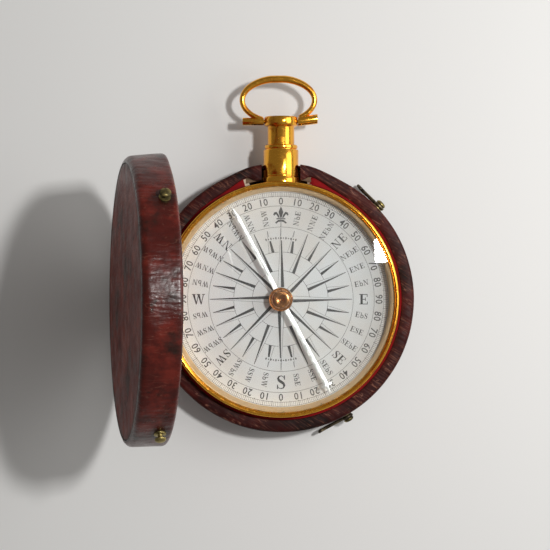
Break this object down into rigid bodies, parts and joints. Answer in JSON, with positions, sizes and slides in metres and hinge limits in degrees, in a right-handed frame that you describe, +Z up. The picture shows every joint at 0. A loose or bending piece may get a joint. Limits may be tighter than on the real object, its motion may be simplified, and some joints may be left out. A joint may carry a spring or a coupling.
{
  "type": "pocket compass",
  "caption": "Gilt-brass pocket compass with compass-rose dial, turning needle, pendant and bow, in a hinged red leather case with hook catches.",
  "frame": {"origin": "centre of the leather case's flat underside, on the surface it stands on", "axes": "+Z up out of the case, +Y along the pendant towards the bow, -X towards the lid's hinge"},
  "size_m": [0.0648, 0.077, 0.0664],
  "materials": {
    "case_leather": "worn red-brown morocco, semi-gloss",
    "case_board": "raw turned wood",
    "lining": "crimson velvet paper, matt",
    "gilt_brass": "fire gilt, polished",
    "tarnished_brass": "dark, tarnished",
    "plain_brass": "satin",
    "cap_brass": "coppery, polished",
    "steel": "polished",
    "glass": "clear, polished",
    "dial_paper": "printed, matt",
    "jewel": "polished agate"
  },
  "bodies": {
    "base": {"base_wall_board": "case_board", "base_flat_board": "case_board", "base_side_leather": "case_leather", "base_face_leather": "case_leather", "base_lining": "lining", "base_pad": "lining", "base_hinge_strap": "case_leather", "base_stud_upper": "tarnished_brass", "base_stud_lower": "tarnished_brass"},
    "lid": {"lid_wall_board": "case_board", "lid_flat_board": "case_board", "lid_side_leather": "case_leather", "lid_face_leather": "case_leather", "lid_lining": "lining", "lid_pad": "lining", "lid_hinge_strap": "case_leather", "lid_stud_upper": "tarnished_brass", "lid_stud_lower": "tarnished_brass"},
    "hook_upper": {"hook_upper": "tarnished_brass"},
    "hook_lower": {"hook_lower": "tarnished_brass"},
    "compass": {"case_bowl": "gilt_brass", "bezel": "gilt_brass", "glass": "glass", "dial_support_ring": "plain_brass", "dial_plate": "plain_brass", "dial_card": "dial_paper", "dial_ring": "gilt_brass", "pivot_post": "plain_brass", "pivot_point": "steel", "pendant_tube": "gilt_brass", "lever_bracket": "plain_brass", "lever_pin": "steel", "bracket_screw_left": "steel", "bracket_screw_right": "steel"},
    "plunger": {"lock_plunger": "gilt_brass", "lock_tongue": "steel", "bow_screw": "gilt_brass", "bow_nut": "gilt_brass"},
    "bow": {"bow": "gilt_brass"},
    "lever": {"lock_lever": "steel"},
    "lift": {"lift_ring": "plain_brass"},
    "needle": {"needle_bar": "steel", "needle_cap": "cap_brass", "cap_jewel": "jewel"}
  },
  "joints": [
    {"name": "lid_hinge", "type": "hinge", "parent": "base", "child": "lid", "pos_m": [-0.0291, 0, 0.00855], "axis": [0, -1, 0], "range_deg": [-78.5, 100]},
    {"name": "hook_upper_swing", "type": "hinge", "parent": "base", "child": "hook_upper", "pos_m": [0.02109, 0.02001, 0.00485], "axis": [-0.7254, -0.6884, 0], "range_deg": [-120, 8]},
    {"name": "hook_lower_swing", "type": "hinge", "parent": "base", "child": "hook_lower", "pos_m": [0.01432, -0.02531, 0.00485], "axis": [0.4924, -0.8704, 0], "range_deg": [-105, 23]},
    {"name": "compass_lift", "type": "slide", "parent": "base", "child": "compass", "axis": [0, 0, 1], "range_m": [0, 0.018]},
    {"name": "lock_slide", "type": "slide", "parent": "compass", "child": "plunger", "axis": [0, -1, 0], "range_m": [0, 0.002]},
    {"name": "lever_tilt", "type": "hinge", "parent": "compass", "child": "lever", "pos_m": [0, 0.013, 0.00392], "axis": [-1, 0, 0], "range_deg": [0, 4.45]},
    {"name": "lift_rise", "type": "slide", "parent": "compass", "child": "lift", "axis": [0, 0, 1], "range_m": [0, 0.00101]},
    {"name": "needle_spin", "type": "hinge", "parent": "lift", "child": "needle", "pos_m": [0, 0, 0.00897], "axis": [0, 0, 1], "continuous": true},
    {"name": "bow_swing", "type": "hinge", "parent": "plunger", "child": "bow", "pos_m": [0, 0.03803, 0.00677], "axis": [1, 0, 0], "range_deg": [-35, 145]}
  ],
  "couplings": [
    {"joint": "lever_tilt", "follows": "lock_slide", "rad_per_m": 38.462},
    {"joint": "lift_rise", "follows": "lock_slide", "ratio": 0.5}
  ]
}
